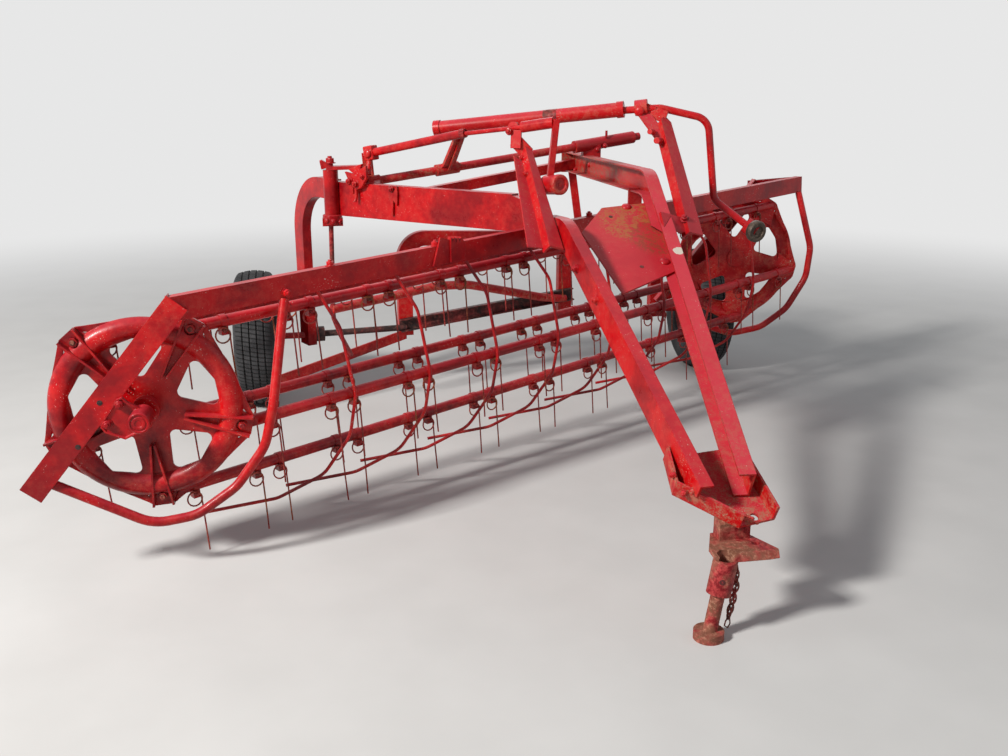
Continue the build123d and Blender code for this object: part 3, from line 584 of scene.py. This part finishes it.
def round_bolt(radius=0.011, height=0.007):
    """A domed coach bolt head."""
    shape = bmesh.new()
    bmesh.ops.create_uvsphere(shape, u_segments=16, v_segments=8, radius=radius)
    bmesh.ops.scale(shape, verts=shape.verts, vec=(1, 1, height / radius))
    bmesh.ops.bisect_plane(
        shape, geom=shape.verts[:] + shape.edges[:] + shape.faces[:], plane_co=(0, 0, -0.0005),
        plane_no=(0, 0, 1), clear_inner=True,
    )
    bmesh.ops.holes_fill(shape, edges=shape.edges, sides=20)
    return as_mesh(shape, "round_bolt")


def clip_strap(inner=0.0201, thick=0.003, width=0.022):
    """A strip bent over the top of a bar that lies along X."""
    shape = bmesh.new()
    bmesh.ops.create_grid(
        shape, x_segments=1, y_segments=1, size=0.5,
        matrix=Matrix.Translation((0, 0, inner + thick / 2)) @ Matrix.Rotation(math.pi / 2, 4, "X")
        @ Matrix.Diagonal((width, thick, 1, 1)),
    )
    bmesh.ops.rotate(shape, verts=shape.verts, cent=(0, 0, 0), matrix=Matrix.Rotation(math.radians(-125), 3, "X"))
    bmesh.ops.spin(
        shape, geom=shape.faces[:] + shape.edges[:] + shape.verts[:], cent=(0, 0, 0), axis=(1, 0, 0),
        angle=math.radians(250), steps=16, use_merge=False,
    )
    return as_mesh(shape, "strap")


tooth_bolt = hex_bolt(0.015, 0.008, washer=0.6)
strap_shape = clip_strap()
print("a bolt has", len(tooth_bolt.polygons), "faces, a strap", len(strap_shape.polygons))

# %% Teeth and clips on the five bars
pair_pitch, pair_gap, end_tooth, pairs = 325.0, 92.0, 105.0, 8
first_pair = (bar_span - (pairs - 1) * pair_pitch) / 2
tooth_places = [end_tooth, bar_span - end_tooth]
tooth_places += [first_pair + n * pair_pitch + side * pair_gap / 2 for n in range(pairs) for side in (-1, 1)]
for n in range(5):
    bar = basket_place @ Matrix.Translation(bar_pivot(n)) @ Matrix.Rotation(bar_turn, 4, "Z")
    body = f"tine_bar_body_{n + 1}"
    stands = [bar @ Matrix.Translation((along / 1000, 0, 0)) for along in tooth_places]
    teeth = together(*((teeth_shapes[(k * 7 + n) % 3], stand) for k, stand in enumerate(stands)))
    wires = piece(f"spring_teeth_{n + 1}", teeth, spring_rust, body)
    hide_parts(f"teeth_{n + 1}")
    piece(f"clip_straps_{n + 1}", copies(strap_shape, stands), chosen.get(f"tine_bar_{n + 1}", red_fresh), body)
    heads = [s @ standing((0, -0.0150, -0.026), (0, -1, 0), k * 0.9) for k, s in enumerate(stands)]
    piece(f"clip_bolts_{n + 1}", copies(tooth_bolt, heads), bolt_rust, body)

# %% [markdown]
# ## Tyres
# A tyre is one profile spun round its axle. The profile is drawn as a chain of points from bead to bead:
# a bulging wall with two raised rings, then the tread with its grooves.

# %% Tyre profile and spin
grooves = (-0.050, -0.017, 0.017, 0.050)


def tread_radius(x):
    return tyre_radius - 0.012 * (x / 0.073) ** 2


def tyre(centre):
    wall = [(0.073, 0.195), (0.084, 0.204), (0.0905, 0.224), (0.0925, 0.229), (0.0915, 0.234), (0.0945, 0.255),
            (0.0950, 0.270), (0.0935, 0.288), (0.0955, 0.291), (0.0905, 0.302), (0.083, 0.315), (0.075, 0.3225)]
    tread = []
    for middle in reversed(grooves):
        tread += [(middle + 0.0045, tread_radius(middle + 0.0045)), (middle + 0.003, tread_radius(middle) - 0.007),
                  (middle - 0.003, tread_radius(middle) - 0.007), (middle - 0.0045, tread_radius(middle - 0.0045))]
    profile = wall + tread + [(-x, r) for x, r in reversed(wall)]
    profile.append(profile[0])
    shape = bmesh.new()
    points = [shape.verts.new((x, 0, r)) for x, r in profile[:-1]]
    edges = [shape.edges.new(pair) for pair in zip(points, points[1:] + points[:1])]
    bmesh.ops.spin(
        shape, geom=points + edges, cent=(0, 0, 0), axis=(1, 0, 0), angle=2 * math.pi, steps=80, use_merge=True
    )
    bmesh.ops.recalc_face_normals(shape, faces=shape.faces)
    bmesh.ops.translate(shape, verts=shape.verts, vec=centre)
    return shape


for side, centre in wheel_centre.items():
    made = piece(f"road_tyre_{side}", tyre(centre), tyre_rubber[side], f"{side}_wheel", smooth=28)
    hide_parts(f"tyre_{side}")

# %% [markdown]
# Wheel nuts and a pressed hub cap sit on the outer face of each wheel. The cap is a short profile spun
# round the axle, and the nuts are bolt heads on a circle.

# %% Hubs
wheel_nut = hex_bolt(0.021, 0.013, washer=0.8)
nut_circle = 0.075


def spun(profile, steps=28):
    """A closed shape spun round Z, from points given as radius and height, the first and last on the axis."""
    shape = bmesh.new()
    points = [shape.verts.new((radius, 0, height)) for radius, height in profile]
    edges = [shape.edges.new(pair) for pair in zip(points, points[1:])]
    bmesh.ops.spin(
        shape, geom=points + edges, cent=(0, 0, 0), axis=(0, 0, 1), angle=2 * math.pi, steps=steps, use_merge=True
    )
    return as_mesh(shape, "spun")


cap_shape = spun([(0, -0.001), (0.040, -0.001), (0.044, 0.002), (0.042, 0.008), (0.034, 0.012), (0.031, 0.024),
                  (0.025, 0.030), (0, 0.032)])
for side, out in (("left", -1), ("right", 1)):
    centre = wheel_centre[side]
    nuts = []
    for n in range(5):
        turn = math.radians(72 * n + 18)
        spot = centre + Vector((out * 0.004, nut_circle * math.sin(turn), nut_circle * math.cos(turn)))
        nuts.append(standing(spot, (out, 0, 0)))
    piece(f"wheel_nuts_{side}", copies(wheel_nut, nuts), bolt_rust, f"{side}_wheel")
    cap = copies(cap_shape, [standing(centre + Vector((out * 0.035, 0, 0)), (out, 0, 0))])
    piece(f"hub_cap_{side}", cap, dark_steel, f"{side}_wheel")

# %% [markdown]
# ## Bolts on the frame
# The frame is bolted together, and the heads are where the eye stops on a plain beam. Each group below
# lists where its bolts sit and which way they face.

# %% Frame bolts
big_bolt = hex_bolt(0.024, 0.013)
small_bolt = hex_bolt(0.017, 0.010)
dome = round_bolt(0.013, 0.009)
wide_dome = round_bolt(0.021, 0.010)

web_out = (0.51, -0.86, 0.0)
leg_out = (-0.99, -0.13, 0.0)
beam_up = (-0.06, 0.0, 1.0)
bolt_groups = {
    "beam_bolts": (big_bolt, [
        (at(455, 96, 896), web_out), (in_basket(626, 204, 369), beam_up), (in_basket(1010, 430, 369), beam_up),
        (in_basket(1700, 837, 369), beam_up), (in_basket(2400, 1249, 369), beam_up),
    ]),
    "leg_bolts": (big_bolt, [
        (at(1498, 337, 901), leg_out), (at(1524, 141, 824), leg_out),
    ]),
    "upright_bolts": (small_bolt, [
        (at(1386, 809, 1271), (-0.9, -0.31, 0.3)), (at(1389, 742, 1213), (-0.9, -0.31, 0.3)),
    ]),
    "ear_bolt": (big_bolt, [(at(1339, 849, 1375), (-0.55, -0.83, 0.1))]),
    "deck_bolts": (wide_dome, [
        (at(1803, 734, 1077), (0, -0.45, 0.89)), (at(1857, 394, 907), (0, -0.45, 0.89)),
    ]),
}
for name, (shape, spots) in bolt_groups.items():
    stands = [standing(spot, out, 0.5 * k) for k, (spot, out) in enumerate(spots)]
    piece(name, copies(shape, stands), red_fresh)

# %% [markdown]
# ## Plates, rods and castings
# Most of what is left is cut from plate or bent from rod. A plate is an outline filled and pulled up, then
# its edges are broken. A rod is a ring carried from point to point and turned a little at each bend.

# %% Plate, rod and block


def pulled(outline, thick):
    """An outline in millimetres on the ground plane, filled and pulled up: the bmesh and its top face."""
    shape = bmesh.new()
    points = [shape.verts.new((x / 1000, y / 1000, 0)) for x, y in outline]
    face = bmesh.ops.contextual_create(shape, geom=points)["faces"]
    grown = bmesh.ops.extrude_face_region(shape, geom=face)["geom"]
    lifted = [g for g in grown if isinstance(g, bmesh.types.BMVert)]
    bmesh.ops.translate(shape, verts=lifted, vec=(0, 0, thick))
    bmesh.ops.recalc_face_normals(shape, faces=shape.faces)
    return shape, [g for g in grown if isinstance(g, bmesh.types.BMFace)]


def plate(outline, thick, broken=0.0015):
    """A plate with broken edges."""
    shape, _ = pulled(outline, thick)
    bmesh.ops.bevel(shape, geom=shape.edges, offset=broken, segments=2, profile=0.5, affect="EDGES", material=-1)
    return as_mesh(shape, "plate")


def rod(points, radius, sides=14):
    """A round rod through a chain of points."""
    shape = bmesh.new()
    way = (points[1] - points[0]).normalized()
    turned = way.to_track_quat("Z", "Y")
    stand = Matrix.Translation(points[0]) @ turned.to_matrix().to_4x4()
    bmesh.ops.create_circle(shape, segments=sides, radius=radius, matrix=stand)
    edges = shape.edges[:]
    for k in range(1, len(points)):
        ahead = (points[min(k + 1, len(points) - 1)] - points[k - 1]).normalized()
        turned = way.rotation_difference(ahead) @ turned
        way = ahead
        after = Matrix.Translation(points[k]) @ turned.to_matrix().to_4x4()
        grown = bmesh.ops.extrude_edge_only(shape, edges=edges)["geom"]
        ring = [g for g in grown if isinstance(g, bmesh.types.BMVert)]
        edges = [g for g in grown if isinstance(g, bmesh.types.BMEdge) and all(v in ring for v in g.verts)]
        bmesh.ops.transform(shape, matrix=after @ stand.inverted(), verts=ring)
        stand = after
    bmesh.ops.holes_fill(shape, edges=shape.edges, sides=sides + 1)
    return as_mesh(shape, "rod")


def block(length, width, height, broken=0.004):
    """A cast block round its own middle."""
    shape = bmesh.new()
    bmesh.ops.create_cube(shape, size=1, matrix=Matrix.Diagonal((length, width, height, 1)))
    bmesh.ops.bevel(shape, geom=shape.edges, offset=broken, segments=3, profile=0.5, affect="EDGES", material=-1)
    return as_mesh(shape, "block")


here = Matrix.Identity(4)
print("plate, rod and block")

# %% [markdown]
# ## Reel heads
# The heads are castings, so the five lobes do not stand on the ring like blocks: the metal flares out from
# the ring to each lobe. A thin wing on each side of a lobe draws that flare, and the end of each bar's
# thread shows in its nut.

# %% Skirts and thread ends
wing_side = [  # radius in millimetres, and degrees from the middle of the lobe
    (334, 4.5), (334, 6.4), (326, 8.8), (317, 12.6), (308, 17.6), (302, 22.8), (298, 27.5), (296, 32),
    (284, 32), (284, 22), (286, 14), (310, 7.5),
]
wing_thick, wing_sunk = 0.007, 0.001
left_head = Vector((0, 0, 0))
right_head = Vector((math.cos(bar_turn), math.sin(bar_turn), 0)) * bar_span / 1000
pin_nut_face = 0.025
thread_end = spun([(0, -0.001), (0.0085, -0.001), (0.0085, 0.0045), (0.0070, 0.0060), (0, 0.0060)], 16)
face_along_y = Matrix.Rotation(math.pi / 2, 4, "X")  # local Z to -Y, local Y to Z
for side, near_face, finish in (
    ("left", left_head - Vector((0, wing_sunk, 0)), red_shaded),
    ("right", right_head + Vector((0, wing_sunk + wing_thick, 0)), red_worn),
):
    wings = []
    for n in range(5):
        for hand in (-1, 1):
            middle = first_pivot_angle - pivot_step * n
            turned = [(radius, math.radians(middle + hand * degrees)) for radius, degrees in wing_side]
            outline = [(radius * math.cos(angle), radius * math.sin(angle)) for radius, angle in turned]
            stand = basket_place @ Matrix.Translation(near_face) @ face_along_y
            wings.append((plate(outline, wing_thick, 0.0012), stand))
    piece(f"head_skirts_{side}", together(*wings), finish, f"{side}_reel_head")
for n in range(5):
    left_end = bar_pivot(n) - Vector((0, pin_nut_face, 0))
    right_end = bar_pivot(n) + right_head + Vector((0, pin_nut_face, 0))
    ends = [
        basket_place @ Matrix.Translation(left_end) @ face_along_y,
        basket_place @ Matrix.Translation(right_end) @ face_along_y.inverted(),
    ]
    piece(f"thread_ends_{n + 1}", copies(thread_end, ends), bolt_rust, f"tine_bar_body_{n + 1}")

# %% [markdown]
# Each head turns on a three-sided bearing casting with a raised rim, bolted to the end channel. The boss is
# a cup with rings on its face, and it is hollow so that the head's shaft can turn in it.

# %% Bearing castings
casting_outline = [(-65, 69), (-46, 75), (-33, 58), (30, 16), (37, -6), (28, -30), (-4, -42), (-57, -62),
                   (-113, -34), (-124, -14), (-114, 8)]
casting_thick, rim_width, rim_height = 0.014, 0.006, 0.006
casting_bolts = [(-0.057, 0.053), (-0.103, -0.006)]
channel_face = 0.1015
boss_cup = spun([
    (0, 0.035), (0.0196, 0.035), (0.0196, -0.046), (0.034, -0.046), (0.034, 0.044), (0.0315, 0.048),
    (0.027, 0.049), (0.0255, 0.0465), (0.021, 0.0465), (0.0195, 0.049), (0.012, 0.049), (0.0105, 0.0475),
    (0, 0.0475),
], 32)


def casting(hand):
    """The casting seen from outside. The right one is the mirror of the left one."""
    shape, top = pulled([(hand * x, y) for x, y in casting_outline], casting_thick)
    bmesh.ops.inset_region(shape, faces=top, thickness=rim_width, depth=0.0)
    bmesh.ops.inset_region(shape, faces=top, thickness=0.002, depth=-rim_height)
    return as_mesh(shape, "casting")


outward_right = face_along_y.inverted() @ Matrix.Rotation(math.pi, 4, "Z")
for side, centre, way, turn in (("left", left_head, -1, face_along_y), ("right", right_head, 1, outward_right)):
    stand = basket_place @ Matrix.Translation(centre + Vector((0, way * channel_face, 0))) @ turn
    floor_height = casting_thick - rim_height
    bolts = [(big_bolt, stand @ Matrix.Translation((-way * x, y, floor_height))) for x, y in casting_bolts]
    boss = (boss_cup, stand @ Matrix.Translation((0, 0, casting_thick)))
    made = piece(f"bearing_casting_{side}", together((casting(-way), stand), boss, *bolts), red_fresh, smooth=30)
    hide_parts(f"bearing_{side}")

# %% [markdown]
# ## Post, lift rod and small brackets
# The left post ends in a cup with a bolt, and a clamp with round bolts holds its foot. From the clamp a
# thin rod hangs to the pipe under the basket. Next to the post a cast bracket joins the lift tube to the
# side beam, with nuts and a hanging pin, and further right a clip grips the beam.

# %% Post cluster
post_middle = at(627, 1451, 0)
clamp = spun([(0, 0), (0.041, 0), (0.044, 0.003), (0.044, 0.042), (0.041, 0.045), (0, 0.045)])
hang = [
    at(619, 1450, 950), at(614, 1450, 700), at(608, 1450, 560), at(610, 1455, 500), at(640, 1527, 395),
    at(688, 1643, 268),
]
horn = plate([(-47, 30), (-35, 34), (-15, -2), (28, -6), (30, -26), (-22, -26), (-40, -8)], 0.052, 0.003)
piece("post_clamp", together(
    (clamp, Matrix.Translation(post_middle + Vector((0, 0, 0.940)))),
    (horn, Matrix.Translation(at(627, 1477, 1196)) @ face_along_y),
    (big_bolt, Matrix.Translation(post_middle + Vector((0, 0, 1.214))) @ Matrix.Scale(1.5, 4)),
    (dome, standing(at(600, 1416, 960), (-0.6, -0.8, 0))),
    (dome, standing(at(631, 1408, 956), (0.1, -1, 0))),
    (dome, standing(at(661, 1423, 952), (0.75, -0.66, 0))),
), red_fresh)
piece("hanging_rod", copies(rod(hang, 0.011), [here]), rusty_rod)

# %% Lift bracket and beam clip
beam_face = (-0.69, -0.72, 0)
bracket = plate([(-55, 47), (-34, 58), (0, 39), (38, 62), (50, 86), (71, 78), (74, 23), (42, -20), (8, -31),
                 (-29, 0), (-46, 31)], 0.016, 0.003)
bracket_at = standing(at(738, 1351, 1135), beam_face)
tube_way = Vector((0.72, -0.668, 0.189))
piece("lift_bracket", together(
    (bracket, bracket_at),
    (big_bolt, bracket_at @ Matrix.Translation((-0.024, 0.006, 0.016))),
    (big_bolt, bracket_at @ Matrix.Translation((0.012, -0.004, 0.016))),
    (small_bolt, bracket_at @ Matrix.Translation((0.052, 0.030, 0.016))),
    (rod([at(736, 1345, 1120), at(736, 1345, 1075), at(728, 1340, 1052)], 0.007), here),
    (rod([at(722, 1358, 1150), at(722, 1358, 1085)], 0.006), here),
    (block(0.046, 0.064, 0.052, 0.006), standing(at(808, 1370, 1262), tube_way)),
    (wide_dome, standing(at(790, 1350, 1262), (-0.67, -0.74, 0.1))),
    (rod([at(800, 1366, 1232), at(792, 1352, 1170)], 0.013), here),
), red_shaded)
clip = plate([(-26, 66), (22, 66), (27, 40), (22, -20), (-2, -64), (-14, -64), (-9, -30), (2, 2), (0, 34),
              (-26, 32)], 0.012, 0.002)
piece("beam_clip", together(
    (clip, standing(at(896, 1214, 1066), beam_face)),
    (small_bolt, standing(at(882, 1212, 1116), beam_face)),
), red_shaded)

# %% [markdown]
# ## Knobs, collars and the yoke
# The two screw cranks end in knobs: a painted one with a ringed face, and a bare dark one, polished by
# hands. Where the lift tubes slide, a dark collar of old grease has built up.

# %% Knobs and collars
knob = spun([(0, -0.020), (0.036, -0.020), (0.040, -0.014), (0.040, 0.003), (0.037, 0.008), (0.030, 0.010),
             (0.024, 0.008), (0.021, 0.001), (0.012, 0.000), (0.010, 0.004), (0, 0.005)], 32)
left_knob = standing(at(1504, 652, 1178), (0.38, -0.92, 0.09))
right_knob = standing(at(2349, 679, 970), (0.30, -0.94, -0.12), size=1.12)
piece("knob_left", copies(knob, [left_knob]), red_worn)
piece("knob_right", copies(knob, [right_knob]), knob_steel)


def collar(start, end, low, high, radius):
    """A sleeve on a tube, between two shares of the tube's length."""
    start, end = at(*start), at(*end)
    return rod([start.lerp(end, low), start.lerp(end, high)], radius, 24)


long_tube = ((1083, 1264, 1370), (1836, 926, 1456))
short_tube = ((792, 1385, 1258), (1185, 1020, 1361))
piece("tube_collars", together(
    (collar(*long_tube, 0.59, 0.66, 0.0306), here), (collar(*short_tube, 0.955, 0.995, 0.0190), here),
), rusty_rod)
piece("tube_ends", together(
    (collar(*long_tube, 0.965, 1.0, 0.034), here), (collar(*long_tube, 0.0, 0.035, 0.034), here),
    (wide_dome, standing(at(1884, 872, 1449), (-0.5, -0.85, 0))),
    (big_bolt, standing(at(1968, 504, 1052), (-0.3, -0.6, 0.75))),
), red_fresh)

# %% [markdown]
# ## Hitch
# Three bolts hold the hitch plate to the left leg. Weld beads close the joints, and a rusty chain with a
# clip hangs from the jack's clevis. Each bead is a row of flattened drops.

# %% Hitch bolts and welds
drop_shape = bmesh.new()
bmesh.ops.create_icosphere(drop_shape, subdivisions=2, radius=0.005)
bmesh.ops.scale(drop_shape, verts=drop_shape.verts, vec=(1, 1, 0.7))
weld_drop = as_mesh(drop_shape, "weld_drop")


def weld(start, end, size=1.0):
    """Overlapping drops of weld metal on a line."""
    start, end = at(*start), at(*end)
    count = max(3, round((end - start).length / (0.0042 * size)))
    way = (end - start).to_track_quat("X", "Z").to_matrix().to_4x4()
    wobble = [math.sin(7.3 * k) * 0.0006 for k in range(count)]
    return [(weld_drop, Matrix.Translation(start.lerp(end, k / (count - 1)) + Vector((0, 0, wobble[k]))) @ way
             @ Matrix.Scale(size * (1 + 0.12 * math.sin(2.1 * k)), 4)) for k in range(count)]


wall_out = (-0.64, -0.67, -0.38)
piece("hitch_bolts", together(
    (small_bolt, standing(at(1583, -556, 432), (-0.95, -0.3, 0))),
    (small_bolt, standing(at(1606, -590, 388), wall_out)),
    (small_bolt, standing(at(1625, -612, 402), wall_out, 0.4)),
), red_worn)
seams = weld((1762, -650, 318), (1805, -667, 309), 1.7) + weld((1772, -640, 324), (1798, -652, 317), 1.4)
seams += weld((1640, -560, 398), (1650, -520, 416), 1.2)
piece("weld_beads", together(*seams), red_worn)

# %% Chain and hairpin clip
link_shape = bmesh.new()
bmesh.ops.create_circle(
    link_shape, segments=8, radius=0.0028,
    matrix=Matrix.Translation((0.009, 0, 0)) @ Matrix.Rotation(math.pi / 2, 4, "X"),
)
bmesh.ops.spin(
    link_shape, geom=link_shape.verts[:] + link_shape.edges[:], cent=(0, 0, 0), axis=(0, 0, 1),
    angle=2 * math.pi, steps=18, use_merge=True,
)
bmesh.ops.scale(link_shape, verts=link_shape.verts, vec=(1, 1.75, 1))
chain_link = as_mesh(link_shape, "chain_link")
hang_line = [at(1718, -742, 205), at(1722, -740, 150), at(1714, -742, 100), at(1704, -746, 62)]
links = []
for k in range(9):
    share = k / 8 * (len(hang_line) - 1)
    first = min(int(share), len(hang_line) - 2)
    spot = hang_line[first].lerp(hang_line[first + 1], share - first)
    way = (hang_line[first + 1] - hang_line[first]).to_track_quat("Y", "Z").to_matrix().to_4x4()
    quarter_turn = Matrix.Rotation(math.radians(90 * (k % 2) + 20), 4, "Y")
    links.append((chain_link, Matrix.Translation(spot) @ way @ quarter_turn))
hairpin = [
    at(1704, -746, 55), at(1694, -748, 40), at(1690, -750, 26), at(1700, -750, 18), at(1708, -748, 30),
    at(1706, -746, 52),
]
links.append((rod(hairpin, 0.0022, 8), here))
piece("pin_chain", together(*links), bolt_rust)

# %% [markdown]
# ## Holes and rear fittings
# Spare holes were punched in the channels and the deck. Each is a shallow disc in dark steel, whose dark colour is
# painted shade standing in for the hole from any side.
# A few round bolts hold the shaft's mount behind.

# %% Holes and rear bolts
hole_shade_disc = spun([(0, -0.001), (0.0085, -0.001), (0.0085, 0.0006), (0.0070, 0.0009), (0, 0.0004)], 20)
deck_up = (0, -0.45, 0.89)
holes = [
    (at(1719, 672, 1046), deck_up), (at(1759, 370, 895), deck_up), (at(-199, -101.3, 470), (0, -1, 0)),
    (at(1661, -782, 185), (-0.34, -0.93, 0.15)), (at(-120, -101.3, 610), (0, -1, 0)),
]
# Dark discs: painted shade in place of the holes.
piece("spare_hole_shade_discs", copies(hole_shade_disc, [standing(spot, out) for spot, out in holes]), dark_steel)
piece("mount_bolts", together(
    (dome, standing(at(1947, 1727, 1243), (0, -1, 0))), (dome, standing(at(1985, 1729, 1262), (0, -1, 0.2))),
    (dome, standing(at(1914, 1747, 1168), (-0.2, -1, 0))), (dome, standing(at(1900, 1990, 1124), (0.39, -0.92, 0))),
    (rod([at(1995, 1745, 1300), at(1995, 1745, 1335)], 0.006), here),
), red_fresh)
